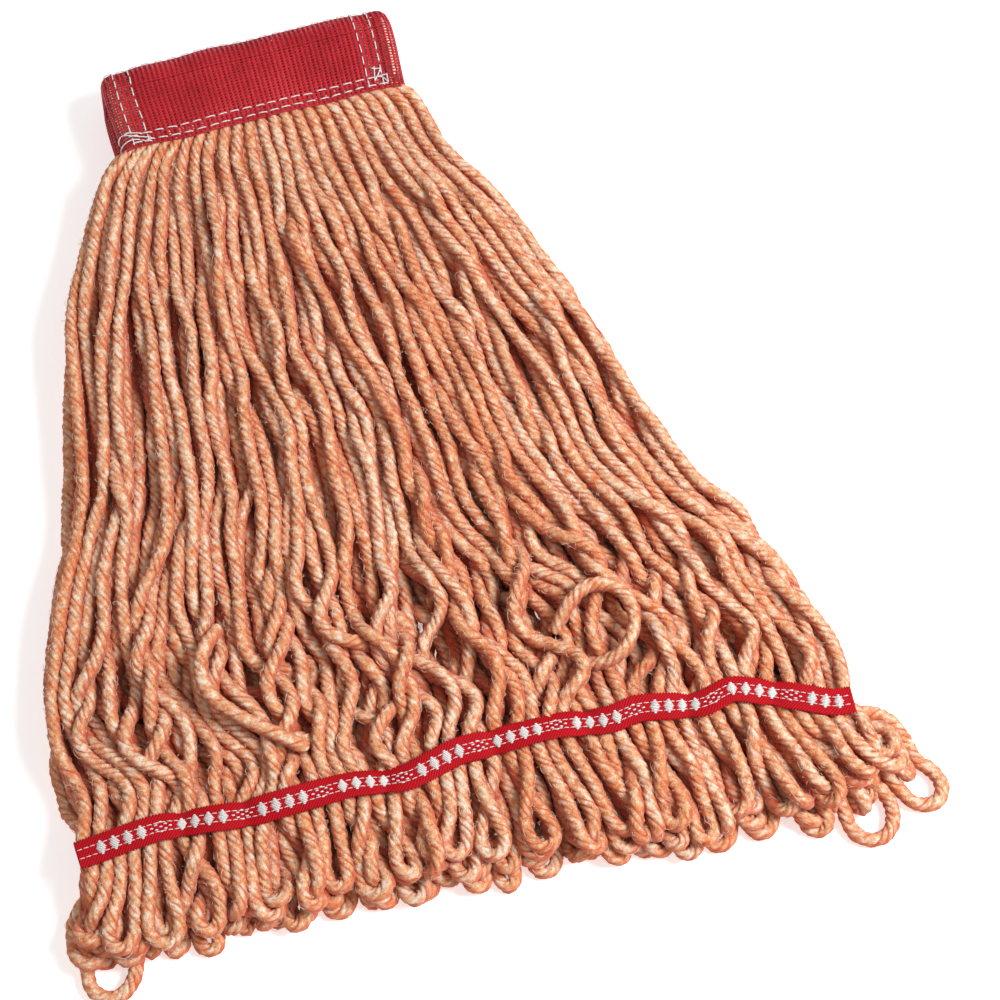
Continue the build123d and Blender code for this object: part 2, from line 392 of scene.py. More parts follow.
def yarn_tubes(name, lines, radii, tones, buried_shade=None, from_above=False):
    """One piece of five-ply yarn tubes along lines, each with its radius at its rings.

    Where given, the fifth list is painted shade for each ring, more for yarn deep in the pile; from
    above, it is painted on the upper side only.
    """
    corner = 2 * np.pi * np.arange(YARN_SIDES) / YARN_SIDES
    dip = np.tile(PLY_DIP, PLIES)
    ply_of_side = ((np.arange(YARN_SIDES) + 2) // len(PLY_DIP)) % PLIES
    all_points, all_faces, caps = [], [], []
    places, all_tones, painted_shades, base = [], [], [], 0
    for number, (line, radius, tone) in enumerate(zip(lines, radii, tones)):
        rings = len(line)
        along = np.arange(rings) * line_length(line) / (rings - 1)
        phase = rng.uniform(0, 2 * np.pi)
        twist = TWIST_PER_MM * along[:, None] + 0.35 * soft_noise(rings, 1, 12)
        angle = corner[None] + phase + twist
        swell = 0.09 * soft_noise(rings, PLIES, 4) + 0.06 * soft_noise(rings, PLIES, 2)
        slub = 0.045 * soft_noise(rings, 1, 9)
        depth = GROOVE_DEPTH * (1 + 0.8 * soft_noise(rings, PLIES, 3))
        grain = rng.normal(0, 0.03, (rings, YARN_SIDES))
        ply_swell = swell[:, ply_of_side] * (1 - 0.7 * dip)
        shape = MEAN_RADIUS - depth[:, ply_of_side] * dip + ply_swell
        reach = radius[:, None] * (shape + slub + grain)
        outward = ring_directions(line, angle)
        points = line[:, None, :] + reach[..., None] * outward
        points[..., 2] = np.maximum(points[..., 2], ON_FLOOR)
        index = base + np.arange(rings * YARN_SIDES).reshape(rings, YARN_SIDES)
        all_points.append(points.reshape(-1, 3))
        all_faces.append(tube_faces(index))
        caps += [index[0][::-1], index[-1]]
        offset = rng.uniform(0, 900)
        lengthways = np.broadcast_to(along[:, None] + offset, reach.shape)
        straight = (lengthways, reach * np.cos(angle), reach * np.sin(angle) + offset)
        places.append(np.stack(straight, axis=-1).reshape(-1, 3))
        # Painted light and shade in the tone: paler where the strand faces up or down, a little darker on
        # its sides.
        facing = np.abs(outward[..., 2])
        crest_painted_light = smoothstep((facing - 0.5) / 0.45) - 0.45
        all_tones.append((tone + CREST_PAINTED_LIGHT * crest_painted_light).ravel())
        # Painted shade: darker in the ply grooves where the strand faces up, darker on its sides, and,
        # where given, deeper in the pile.
        tick = np.clip(0.42 + 0.75 * soft_noise(rings, PLIES, 3), 0, 1)[:, ply_of_side]
        shade = dip * tick * smoothstep((facing - 0.15) / 0.6)
        shade = shade + SIDE_SHADE * smoothstep((0.92 - facing) / 0.8)
        if buried_shade is not None:
            seen = smoothstep((outward[..., 2] + 0.3) / 0.5) if from_above else 1.0
            shade = shade + buried_shade[number][:, None] * seen
        painted_shades.append(np.clip(shade, 0, MOST_SHADE).ravel())
        base += rings * YARN_SIDES
    attributes = [
        ("yarn_place", "FLOAT_VECTOR", np.concatenate(places)),
        ("tone", "FLOAT", np.concatenate(all_tones)),
        ("painted_shade", "FLOAT", np.concatenate(painted_shades)),
    ]
    faces = [np.concatenate(all_faces), np.array(caps)]
    return mesh_piece(name, np.concatenate(all_points), faces, YARN, attributes)


FIBRE_RADIUS = 0.12
FIBRE_TAPER = np.array([0.6, 1.0, 1.0, 1.0, 0.6])
FIBRES_PER_MM = {False: 0.25, True: 1.05}
FIBRE_ENDS_CLEAR = 6


def fibre_loops(name, lines, radii, upper):
    """Fine pale fibres standing off the yarn, each rooted in it at both ends."""
    t = np.linspace(0, 1, len(FIBRE_TAPER))
    centres, outs = [], []
    for line, radius in zip(lines, radii):
        tangent = unit(np.gradient(line, axis=0))
        count = int(line_length(line) * FIBRES_PER_MM[upper])
        first = rng.uniform(FIBRE_ENDS_CLEAR, len(line) - 1 - FIBRE_ENDS_CLEAR, count)
        span = np.clip(rng.normal(0, 2.2, count), -5, 5)
        at = first[:, None] + span[:, None] * t
        low = at.astype(int)
        part = (at - low)[..., None]
        middle = line[low] * (1 - part) + line[low + 1] * part
        along = tangent[low]
        side = rng.normal(size=(count, 1, 3))
        side = unit(side - (side * along).sum(-1, keepdims=True) * along)
        swing = (rng.normal(0, 0.45, count)[:, None] * t)[..., None]
        side = side * np.cos(swing) + np.cross(along, side) * np.sin(swing)
        stand = np.clip(rng.exponential(0.45, count) + 0.35, 0, 2.0)[:, None]
        reach = radius[low] * 1.02 - 0.2 + stand * np.sin(np.pi * t)
        centres.append(middle + side * reach[..., None])
        outs.append(side)
    centre = np.concatenate(centres)
    out = np.concatenate(outs)
    heading = unit(np.gradient(centre, axis=1) + 1e-6)
    across = unit(np.cross(heading, out))[:, :, None]
    above = np.cross(across[:, :, 0], heading)[:, :, None]
    corner = 2 * np.pi * np.arange(3) / 3
    round_fibre = np.cos(corner)[:, None] * above + np.sin(corner)[:, None] * across
    points = centre[:, :, None] + FIBRE_RADIUS * FIBRE_TAPER[:, None, None] * round_fibre
    points[..., 2] = np.maximum(points[..., 2], ON_FLOOR)
    index = np.arange(points[..., 0].size).reshape(points.shape[:3])
    caps = np.concatenate([index[:, 0, ::-1], index[:, -1]])
    flat = points.reshape(-1, 3)
    tone = np.repeat(rng.uniform(0.1, 0.45, len(centre)), 3 * len(FIBRE_TAPER))
    attributes = [
        ("yarn_place", "FLOAT_VECTOR", flat),
        ("tone", "FLOAT", tone),
        ("painted_shade", "FLOAT", np.zeros(len(flat))),
    ]
    return mesh_piece(name, flat, [tube_faces(index), caps], YARN, attributes)


# ---------------------------------------------------------------- free strands and loops

YARN_RADIUS = 3.5

STRAY_ROUTES = {
    "stray_strand_left": [
        (-112, 122, 7), (-120, 111, 5), (-128, 96, 3.7), (-134, 76, 3.7),
        (-139, 54, 3.7), (-143, 32, 3.7), (-149, 11, 3.7), (-153, -9, 4.5),
        (-152, -26, 7),
    ],
    "stray_loop_left": [
        (-177, -200, 7), (-185, -206, 5), (-189, -216, 3.7), (-189, -228, 3.7),
        (-181, -235, 3.7), (-171, -232, 3.7), (-165, -223, 3.7), (-164, -213, 4.5),
        (-168, -203, 6),
    ],
    "stray_loop_right": [
        (179, -231, 7), (179, -242, 4.5), (179, -253, 3.7), (186, -261, 3.7),
        (196, -260, 3.7), (202, -252, 3.7), (202, -241, 3.8), (195, -231, 5.5),
        (185, -226, 7),
    ],
    "tape_end_loop": [
        (184, -201, 21), (197, -201, 19), (208, -203, 14), (216, -209, 9),
        (219, -219, 5), (221, -229, 3.7), (227, -235, 3.7), (230, -244, 3.7),
        (224, -252, 3.7), (213, -250, 3.7), (207, -238, 5), (202, -225, 12),
        (192, -213, 20),
    ],
    "slack_loop_left": [
        (-90, -78, 26), (-97, -86, 33), (-103, -98, 34.2), (-101, -112, 33.9),
        (-92, -124, 33.6), (-81, -134, 33.4), (-71, -142, 32), (-63, -148, 26),
    ],
    "slack_loop_right": [
        (68, -124, 25), (76, -115, 32.5), (87, -108, 34), (99, -109, 34),
        (107, -119, 33.7), (107, -132, 33.2), (99, -143, 30.5), (88, -147, 26.5),
        (78, -143, 22),
    ],
}


def nurbs_line(route):
    """The points of a smooth NURBS line that has the route's points as its control points."""
    curve = bpy.data.curves.new("route", "CURVE")
    curve.dimensions = "3D"
    curve.resolution_u = 24
    spline = curve.splines.new("NURBS")
    spline.points.add(len(route) - 1)
    for point, place in zip(spline.points, route):
        point.co = (place[0] * MM, place[1] * MM, place[2] * MM, 1.0)
    spline.order_u = 3
    spline.use_endpoint_u = True
    holder = bpy.data.objects.new("route", curve)
    mesh = bpy.data.meshes.new_from_object(holder)
    line = np.array([vertex.co for vertex in mesh.vertices], float) / MM
    bpy.data.meshes.remove(mesh)
    bpy.data.objects.remove(holder)
    bpy.data.curves.remove(curve)
    return line


stray_lines = []
for stray, route in STRAY_ROUTES.items():
    line = nurbs_line(route)
    length = line_length(line)
    rings = evenly(line, int(length / RING_STEP) + 1)
    stray_lines.append(rings)
    tube = yarn_tubes(f"yarn_{stray}", [rings], [np.full(len(rings), YARN_RADIUS)], [0.0])
    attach(tube, "lower_half" if stray.startswith("stray") else "upper_yarn")
    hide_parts(stray)

# ---------------------------------------------------------------- where the strands run

BUNDLES = 8
COLUMNS = 48
COLUMNS_PER_BUNDLE = COLUMNS // BUNDLES
BAND_COLUMNS = COLUMNS // 2
CORE_END_Y = 197.0
BAND_SPREAD = 142.0
BAND_STAGGER = 1.5

# Half widths of the skirt at its outermost strands, by place along Y
left_outline = [
    (207, 70), (190, 82), (170, 95), (145, 106), (115, 117), (85, 125), (55, 131), (25, 136),
    (-5, 146), (-35, 158), (-65, 166), (-95, 173), (-125, 177), (-172, 175), (-215, 186),
]
right_outline = [
    (207, 70), (190, 78), (170, 83), (145, 88), (120, 102), (95, 113), (70, 121), (40, 131),
    (10, 138), (-20, 146), (-50, 158), (-80, 168), (-110, 182), (-140, 192), (-165, 194),
    (-197, 192), (-240, 200),
]
# How far the loops reach down and which way they lean, by place along X
loop_reach = [
    (-190, -221), (-150, -223), (-100, -226), (-50, -226), (0, -230), (50, -234), (80, -236),
    (110, -244), (160, -244), (190, -245), (220, -236),
]
loop_lean = [
    (-185, -17), (-120, -8), (-40, -4), (40, 2), (95, 9), (140, 17), (170, 27), (195, 40),
]
tape_line = [
    (-184, -170), (-139, -167), (-97, -172), (-46, -172), (-20, -176), (6, -170), (57, -171),
    (82, -175), (95, -173), (127, -180), (141, -176), (159, -183), (187, -196), (200, -197),
]
# Where the tape is pinched into the yarn, along X
TAPE_PINCHES = np.array([-128.0, -98.0, -31.0, 24.0, 70.0, 119.0, 160.0])

# Heights between the two halves and of the top of the pile, by place along Y
heights = [
    (197, 18.5, 36.0), (184, 18.5, 37.8), (172, 18.5, 37.8), (112, 18.0, 37.0), (45, 17.0, 34.5),
    (-32, 16.0, 32.5), (-106, 15.0, 31.5), (-150, 14.5, 29.5), (-215, 14.0, 28.0),
    (-250, 14.0, 24.0),
]
# The space inside each leg of the headband at its edge
LEG_SPACE = {False: (1.9, 14.0), True: (22.9, 34.8)}
TAPE_START = -178.0
TAPE_SPAN = 374.0
TAPE_TOP = 28.5
TAPE_UNDER = 15.4
TAPE_LOWER_TOP = 13.1
TAPE_FLOOR = 0.9


def table(rows, at, column=1):
    """A column of a table, read at places along its first column."""
    rows = np.array(rows, float)
    rows = rows[np.argsort(rows[:, 0])]
    return np.interp(at, rows[:, 0], rows[:, column])


def side_width(share, y):
    """How far the skirt reaches on that side at y."""
    return np.where(share < 0, table(left_outline, y), table(right_outline, y))


def tape_y(x):
    """The tape's centre line in plan."""
    return table(tape_line, x)


def tape_lift(x):
    """How far the tape rides above or below its mean height, with a dip at each pinch."""
    x = np.asarray(x, float)
    away = np.abs(x[..., None] - TAPE_PINCHES).min(axis=-1)
    near_end = smoothstep((np.abs(x - 9.0) - 155.0) / 30.0)
    dips = 2.6 * np.tanh(away / 12.0) - 1.6 - 2.6 * near_end
    return dips + 0.5 * np.sin(x / 17.0)


def wave_field(count, shortest, longest):
    """A smooth random field over the plan, about -1 to 1."""
    turn = rng.uniform(0, 2 * np.pi, count)
    size = 2 * np.pi / rng.uniform(shortest, longest, count)
    phase = rng.uniform(0, 2 * np.pi, count)

    def field(x, y):
        across = np.multiply.outer(x, size * np.cos(turn))
        waves = np.sin(across + np.multiply.outer(y, size * np.sin(turn)) + phase)
        return waves.sum(-1) / math.sqrt(count / 2)

    return field


shared_sway = wave_field(9, 110.0, 220.0)
shared_lean = wave_field(5, 60.0, 140.0)
bunch_fields = [wave_field(5, 20.0, 38.0) for _ in range(4)]


def wobble(y, lengths, sizes):
    """One strand's own smooth wandering along Y."""
    total = np.zeros_like(y)
    for length, size in zip(lengths, sizes):
        run = length * rng.uniform(0.8, 1.25)
        total += size * np.sin(2 * np.pi * y / run + rng.uniform(0, 6.28))
    return total


def strand_line(upper, band_column, band_layer, column, layer):
    """A strand's first line, from inside the headband down to the tape."""
    band_x = (band_column + 0.5) / BAND_COLUMNS * BAND_SPREAD - BAND_SPREAD / 2
    band_x += BAND_STAGGER if band_layer % 2 else -BAND_STAGGER
    tape_x = TAPE_START + (column + 0.5) / COLUMNS * TAPE_SPAN
    end_y = tape_y(tape_x)
    y = np.linspace(CORE_END_Y, end_y + 6, 90)
    t = (CORE_END_Y - y) / (CORE_END_Y - end_y)
    share_band = band_x / 70.0
    share_tape = tape_x / side_width(tape_x, end_y)
    share = share_band + (share_tape - share_band) * smoothstep(t * 1.15)
    x = share * side_width(share, y)
    x = band_x + (x - band_x) * smoothstep((CORE_END_Y - y) / 14)
    # The space that the half has at each y, less the yarn's own radius
    mid = table(heights, y, 1)
    low = mid + 0.3 if upper else 0.2
    high = table(heights, y, 2) if upper else mid - 0.3
    outside = smoothstep((188 - y) / 14)
    low = LEG_SPACE[upper][0] + (low - LEG_SPACE[upper][0]) * outside
    high = LEG_SPACE[upper][1] + (high - LEG_SPACE[upper][1]) * outside
    low = low + 2.6 + 0.7 * outside
    high = high - 2.6 - 0.7 * outside
    # Four layers at the headband sort themselves into two at the tape
    layer_band = band_layer / 3
    depth = 0.5 * (1 - math.cos(math.pi * rng.random()))
    layer_mid = (layer + 0.75 * depth) / 1.75 if layer else 0.4 * depth
    sort = layer_band + (layer_mid - layer_band) * smoothstep(t * 2.6)
    sort = sort + (layer - sort) * smoothstep((end_y + 45 - y) / 40)
    z = low + sort * (high - low)
    # It sways, bunches and kinks more towards the tape, and less at the skirt's sides
    loose = smoothstep((150 - y) / 220) * (1 - 0.55 * smoothstep((end_y + 30 - y) / 30))
    near = smoothstep((-35 - y) / 75) * smoothstep((y - end_y) / 22)
    calm = 1 - 0.65 * np.abs(share) ** 5
    sway = 4.6 * shared_sway(x, y) * loose * calm
    own = wobble(y, (150, 85), (2.4, 1.2)) * loose * calm
    strong = 1.8 if rng.random() < 0.18 else 1.0
    kinks = strong * wobble(y, (82, 54), (6.2, 2.6)) * near * calm
    bunch = bunch_fields[2 * upper + layer](150 * share, 0.12 * y)
    bunched = smoothstep((176 - y) / 60) * (1 - 0.7 * smoothstep((end_y + 60 - y) / 60))
    own = own + 2.9 * bunch * bunched * calm
    own = own + wobble(y, (66, 38), (1.2, 0.8)) * smoothstep((184 - y) / 20) * calm
    rise = wobble(y, (120, 60), (2.0, 1.0)) * loose
    if upper and layer:
        puff = np.exp(-(((y - rng.normal(177, 2)) / 6) ** 2)) * smoothstep((190 - y) / 6)
        rise = rise + rng.uniform(0, 3.6) * puff
        own = own + rng.normal(0, 0.9) * puff
    rise = rise + strong * wobble(y, (70, 48), (2.2, 1.2)) * near
    return np.stack([x + sway + own + kinks, y, z + rise], axis=1)


LOOP_BEND = 4.3


def loop_line(first, second, heading, reach, turns, droop):
    """A loop hanging from two tape crossings: out along the heading and back."""
    centre = (first + second) / 2
    half = (first - second) / 2
    t = np.linspace(0, 1, 26)
    legs = max(reach - LOOP_BEND, 12.0)
    forward = np.array([math.sin(heading), -math.cos(heading), 0.0])
    angle = turns * 2 * np.pi * smoothstep(t)
    side = half - forward * (half @ forward)
    size = np.linalg.norm(side)
    side_unit = side / size
    other = np.cross(forward, side_unit)
    spread = size + (LOOP_BEND - size) * smoothstep(t)
    turned = np.cos(angle)[:, None] * side_unit + np.sin(angle)[:, None] * other
    turned = turned * spread[:, None]
    skew = forward * (half @ forward)
    middle = centre + forward * (legs * t)[:, None]
    middle[:, 2] -= droop * t**2
    out = middle + turned + skew * (1 - t)[:, None]
    home = middle - turned - skew * (1 - t)[:, None]
    arc = np.linspace(0, np.pi, 9)[1:-1]
    last = turned[-1] / spread[-1]
    tip = middle[-1] + LOOP_BEND * (np.cos(arc)[:, None] * last + np.sin(arc)[:, None] * forward)
    return np.concatenate([out, tip, home[::-1]])


# How high the strands of each half and layer cross the tapes that lie flat
CROSSING_Z = {
    (False, 0): TAPE_FLOOR + 3.9,
    (False, 1): TAPE_LOWER_TOP - 3.9,
    (True, 0): TAPE_UNDER + 3.8,
}


def strand_pairs(first_column):
    """Which strands of a bundle are the two ends of one looped yarn, as columns and layers."""
    pairs = []
    for column in range(first_column, first_column + COLUMNS_PER_BUNDLE, 2):
        near_low, near_high, far_low, far_high = (
            (at, layer) for at in (column, column + 1) for layer in (0, 1)
        )
        if rng.random() < 0.55:
            pairs += [(near_high, far_low), (far_high, near_low)]
        else:
            pairs += [(near_low, far_low), (near_high, far_high)]
    return pairs


def looped_yarn(upper, pair, ranks):
    """One looped yarn's first line, down one strand, round its loop and up the other."""
    crossings, strands = [], []
    for column, layer in pair:
        rank = ranks[layer, column]
        band_layer = 2 * layer + (1 if rank % 2 == 0 else 0)
        strands.append(strand_line(upper, rank // 2, band_layer, column, layer))
        tape_x = TAPE_START + (column + 0.5) / COLUMNS * TAPE_SPAN
        if upper and layer:
            z = TAPE_TOP + tape_lift(tape_x) - 4.1
        else:
            z = CROSSING_Z[upper, layer]
        crossings.append(np.array([tape_x, tape_y(tape_x), z]))
    place = (crossings[0][0] + crossings[1][0]) / 2
    heading = math.radians(table(loop_lean, place))
    heading += math.radians(5) * shared_lean(np.array(place), np.array(0.0 if upper else 150.0))
    heading += rng.normal(0, math.radians(3.5))
    tip_x = place + 55 * math.tan(heading)
    reach = (tape_y(place) - table(loop_reach, tip_x)) / math.cos(heading)
    reach += min(rng.normal(-2.0, 3.0), 2.5) - (4.5 if upper else 0.0)
    turns = rng.choice([0.0, 0.0, 0.0, 0.5, -0.5])
    past_tape = 6.0
    first, second = (crossing + np.array([0, -past_tape, 0]) for crossing in crossings)
    loop = loop_line(first, second, heading, reach - past_tape, turns, 3.0 if upper else 0.5)
    down, up = strands[0], strands[1][::-1]
    return np.concatenate([down, crossings[0][None], loop, crossings[1][None], up]), crossings


def lay_out_chains():
    """Every looped yarn's half, bundle and first line, with what pins it."""
    chains = []
    for upper in (False, True):
        order = np.arange(COLUMNS) + rng.normal(0, 0.9, (2, COLUMNS))
        ranks = np.argsort(np.argsort(order, axis=1), axis=1)
        for bundle in range(BUNDLES):
            for pair in strand_pairs(bundle * COLUMNS_PER_BUNDLE):
                chains.append((upper, bundle, *looped_yarn(upper, pair, ranks)))
    return chains


# ---------------------------------------------------------------- settling the strands

NODE_STEP = 5.0
HELD_ABOVE_Y = 187
SETTLE_RADIUS = 3.35
PAIR_REACH = 9.5
SETTLE_ROUNDS = 360


def nearby_pairs(points, reach):
    """Every pair of points nearer than the reach, by sorting them into cells."""
    cells = np.floor((points - points.min(0)) / reach).astype(np.int64) + 1
    span = cells.max(0) + 2
    keys = cells[:, 0] + span[0] * (cells[:, 1] + span[1] * cells[:, 2])
    order = np.argsort(keys, kind="stable")
    ordered = keys[order]
    found_a, found_b = [], []
    neighbours = [(dx, dy, dz) for dx in (-1, 0, 1) for dy in (-1, 0, 1) for dz in (-1, 0, 1)]
    for dx, dy, dz in neighbours:
        shift = dx + span[0] * (dy + span[1] * dz)
        if shift < 0:
            continue
        start = np.searchsorted(ordered, keys + shift, "left")
        count = np.searchsorted(ordered, keys + shift, "right") - start
        a = np.repeat(np.arange(len(points)), count)
        first = np.repeat(start - np.concatenate([[0], np.cumsum(count)[:-1]]), count)
        b = order[first + np.arange(len(a))]
        keep = a < b if shift == 0 else a != b
        a, b = a[keep], b[keep]
        near = ((points[a] - points[b]) ** 2).sum(1) < reach * reach
        found_a.append(a[near])
        found_b.append(b[near])
    return np.concatenate(found_a), np.concatenate(found_b)


def height_limits(points, is_upper):
    """The least and greatest height of each node: the floor and, at the tapes, the tapes."""
    at_tape = np.abs(points[:, 1] - tape_y(points[:, 0])) < 9
    under = np.where(is_upper, TAPE_UNDER, TAPE_FLOOR) + 3.3
    over = np.where(is_upper, TAPE_TOP + tape_lift(points[:, 0]), TAPE_LOWER_TOP) - 4.1
    lowest = np.where(at_tape, under, YARN_RADIUS)
    highest = np.where(at_tape, over, 60.0)
    lowest = np.where(points[:, 1] > HELD_ABOVE_Y, 0.0, lowest)
    return lowest, np.maximum(highest, lowest)


def settle(chains, obstacles, rounds):
    """Lets the strands push each other apart and sink onto the floor, at their own lengths."""
    nodes, chain_of, rest, pinned, pull, is_upper = [], [], [], [], [], []
    for number, (upper, _, line, crossings) in enumerate(chains):
        length = line_length(line)
        count = int(round(length / NODE_STEP)) + 1
        spaced = evenly(line, count)
        held = spaced[:, 1] > HELD_ABOVE_Y
        for crossing in crossings:
            nearest = int(np.linalg.norm(spaced - crossing, axis=1).argmin())
            spaced[nearest] = crossing
            held[nearest] = True
        nodes.append(spaced)
        chain_of.append(np.full(count, number))
        rest.append(np.full(count, length / (count - 1)))
        pinned.append(held)
        pull.append(np.where(spaced[:, 1] < tape_y(spaced[:, 0]), 0.006, 0.02))
        is_upper.append(np.full(count, upper))
    moving = sum(len(part) for part in nodes)
    nodes += [evenly(line, int(line_length(line) / NODE_STEP) + 1) for line in obstacles]
    points = np.concatenate(nodes)
    total = len(points)
    still = total - moving
    chain_of = np.concatenate(chain_of + [np.arange(still) + total])
    rest = np.concatenate(rest + [np.full(still, NODE_STEP)])
    free = np.concatenate([~np.concatenate(pinned), np.zeros(still)])
    pull = np.concatenate(pull + [np.zeros(still)])
    is_upper = np.concatenate(is_upper + [np.zeros(still, bool)])
    home = points.copy()
    # The strands are packed tighter inside the headband
    radius = SETTLE_RADIUS * (0.72 + 0.28 * smoothstep((190 - home[:, 1]) / 60))
    links = np.nonzero(chain_of[:-1] == chain_of[1:])[0]
    link_sets = [links[links % 2 == parity] for parity in (0, 1)]
    inner = np.nonzero((chain_of[:-4] == chain_of[4:]))[0] + 2
    for step in range(rounds):
        points[:, 2] -= 0.05 * free
        points[:, :2] += ((home - points)[:, :2] * pull[:, None]) * free[:, None]
        points[:, 2] += (home - points)[:, 2] * 0.008 * free
        # Each run keeps its length
        for at in link_sets * 3:
            gap = points[at + 1] - points[at]
            size = np.linalg.norm(gap, axis=1)
            weight = free[at] + free[at + 1]
            share = (size - rest[at]) / np.maximum(size, 1e-9) / np.maximum(weight, 1)
            points[at] += gap * (share * free[at])[:, None]
            points[at + 1] -= gap * (share * free[at + 1])[:, None]
        # The yarn is stiff
        stiff = points[inner - 2] - 4 * points[inner - 1] + 6 * points[inner]
        stiff = stiff - 4 * points[inner + 1] + points[inner + 2]
        points[inner] -= stiff * (0.045 * free[inner])[:, None]
        # Strands that overlap push each other away
        if step % 6 == 0:
            pair_a, pair_b = nearby_pairs(points, PAIR_REACH)
            apart = (chain_of[pair_a] != chain_of[pair_b]) | (np.abs(pair_a - pair_b) > 2)
            apart &= (free[pair_a] + free[pair_b]) > 0
            pair_a, pair_b = pair_a[apart], pair_b[apart]
        gap = points[pair_a] - points[pair_b]
        size = np.linalg.norm(gap, axis=1)
        need = radius[pair_a] + radius[pair_b]
        close = size < need
        a, b = pair_a[close], pair_b[close]
        push = gap[close] * ((need - size)[close] / np.maximum(size[close], 0.2))[:, None]
        weight = np.maximum(free[a] + free[b], 1)
        move_a = push * (free[a] / weight)[:, None]
        move_b = -push * (free[b] / weight)[:, None]
        hits = np.bincount(a, minlength=total) + np.bincount(b, minlength=total)
        relax = 0.9 / np.maximum(hits, 1) ** 0.6
        for axis in range(3):
            shift = np.bincount(a, move_a[:, axis], total) + np.bincount(b, move_b[:, axis], total)
            points[:, axis] += shift * relax * 0.7
        held_z = np.clip(points[:, 2], *height_limits(points, is_upper))
        points[:, 2] = np.where(free > 0, held_z, points[:, 2])
        if step > rounds * 0.8:
            middle = (points[inner - 1] + points[inner + 1]) / 2
            points[inner] -= (points[inner] - middle) * (0.04 * free[inner])[:, None]
    starts = np.cumsum([len(part) for part in nodes])[: len(chains)]
    return np.split(points, starts)[: len(chains)]


chains = lay_out_chains()
settled = settle(chains, stray_lines, SETTLE_ROUNDS)
PILE_CELL = 9.0
PILE_CORNER = np.array([-260, -300])
PILE_CELLS = (59, 64)


def pile_top(upper, rise):
    """The pile's height over a grid of cells, as a function of places."""
    places = np.concatenate([line for line, chain in zip(settled, chains) if chain[0] == upper])
    top = np.full(PILE_CELLS, -1e9)

    def cells(where):
        return tuple(((where[:, :2] - PILE_CORNER) / PILE_CELL).astype(int).T)

    np.maximum.at(top, cells(places), rise * places[:, 2])
    return lambda where: top[cells(where)]


upper_top = pile_top(True, 1)
lower_top = pile_top(False, 1)
lower_bottom = pile_top(False, -1)


def buried_painted_shade(rings, upper):
    """Painted shade for each ring: 0 on the open faces of a half's pile, more for yarn deeper inside it.
    """
    if upper:
        depth = upper_top(rings) - rings[:, 2]
    else:
        below = lower_top(rings) - rings[:, 2]
        depth = np.minimum(below, lower_bottom(rings) + rings[:, 2])
    depth = np.convolve(np.pad(depth, 4, "edge"), np.ones(9) / 9, "valid")
    return 0.8 * smoothstep((depth - 2.5) / 7.0)


FUZZ_BELOW_Y = 186
for upper, half in ((False, "lower"), (True, "upper")):
    for bundle in range(BUNDLES):
        lines, radii, tones = [], [], []
        for (chain_upper, chain_bundle, _, _), nodes in zip(chains, settled):
            if (chain_upper, chain_bundle) != (upper, bundle):
                continue
            smooth = through(nodes, 5)
            step = RING_STEP if upper else LOWER_RING_STEP
            rings = evenly(smooth, int(line_length(smooth) / step) + 1)
            out_of_band = 0.72 * smoothstep((198 - rings[:, 1]) / 18)
            fluffed = 0.2 * smoothstep((120 - rings[:, 1]) / 220)
            slow = 0.1 * np.sin(np.arange(len(rings)) / 21.0 + rng.uniform(0, 6))
            lines.append(rings)
            radii.append(2.5 + out_of_band + fluffed + slow)
            tones.append(rng.normal(0, 0.045))
        buried_shade = [buried_painted_shade(rings, upper) for rings in lines]
        piece = yarn_tubes(f"yarn_{half}_{bundle + 1}", lines, radii, tones, buried_shade, True)
        outside = [line[:, 1] < FUZZ_BELOW_Y for line in lines]
        fuzzy_lines = [line[part] for line, part in zip(lines, outside)]
        fuzzy_radii = [radius[part] for radius, part in zip(radii, outside)]
        fuzz = fibre_loops(f"fibres_{half}_{bundle + 1}", fuzzy_lines, fuzzy_radii, upper)
        for made in (piece, fuzz):
            if upper:
                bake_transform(made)
            else:
                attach(made, "lower_half")
        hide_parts(f"{half}_yarn_{bundle + 1}")

# ---------------------------------------------------------------- headband net

band_low, band_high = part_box("upper_headband_mesh")
fold_low, fold_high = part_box("fold_mesh")
BAND_HALF = band_high.x / MM
LEG_THICKNESS = (band_high.z - band_low.z) / MM
FOLD_Y = band_high.y / MM
LEG_LENGTH = FOLD_Y - band_low.y / MM
FOLD_Z = (fold_low.z + fold_high.z) / 2 / MM
FOLD_RADIUS = fold_high.y / MM - FOLD_Y
LEG_CENTRE = FOLD_RADIUS - LEG_THICKNESS / 2
END_RADIUS = 7.2
FLAT_HALF = BAND_HALF - END_RADIUS
SIDE_FLAT = LEG_THICKNESS / 2 - END_RADIUS
END_TURN = np.pi * END_RADIUS + 2 * SIDE_FLAT
FOLD_ARC = math.pi * FOLD_RADIUS
FOLD_MIDDLE = LEG_LENGTH + FOLD_ARC / 2
FOLD_END = LEG_LENGTH + FOLD_ARC
NET_TOTAL = 2 * LEG_LENGTH + FOLD_ARC

RIB_COUNT = 128
LEG_ROWS = 22
HALF_FOLD_ROWS = 16
HOLE_ACROSS = 0.5
HOLE_ALONG = 0.66
NET_THICKNESS = 0.5


def squarer(share):
    """Moves a rounded corner's places outwards, for a corner with a tighter turn."""
    return np.sign(share) * np.abs(share) ** 0.78


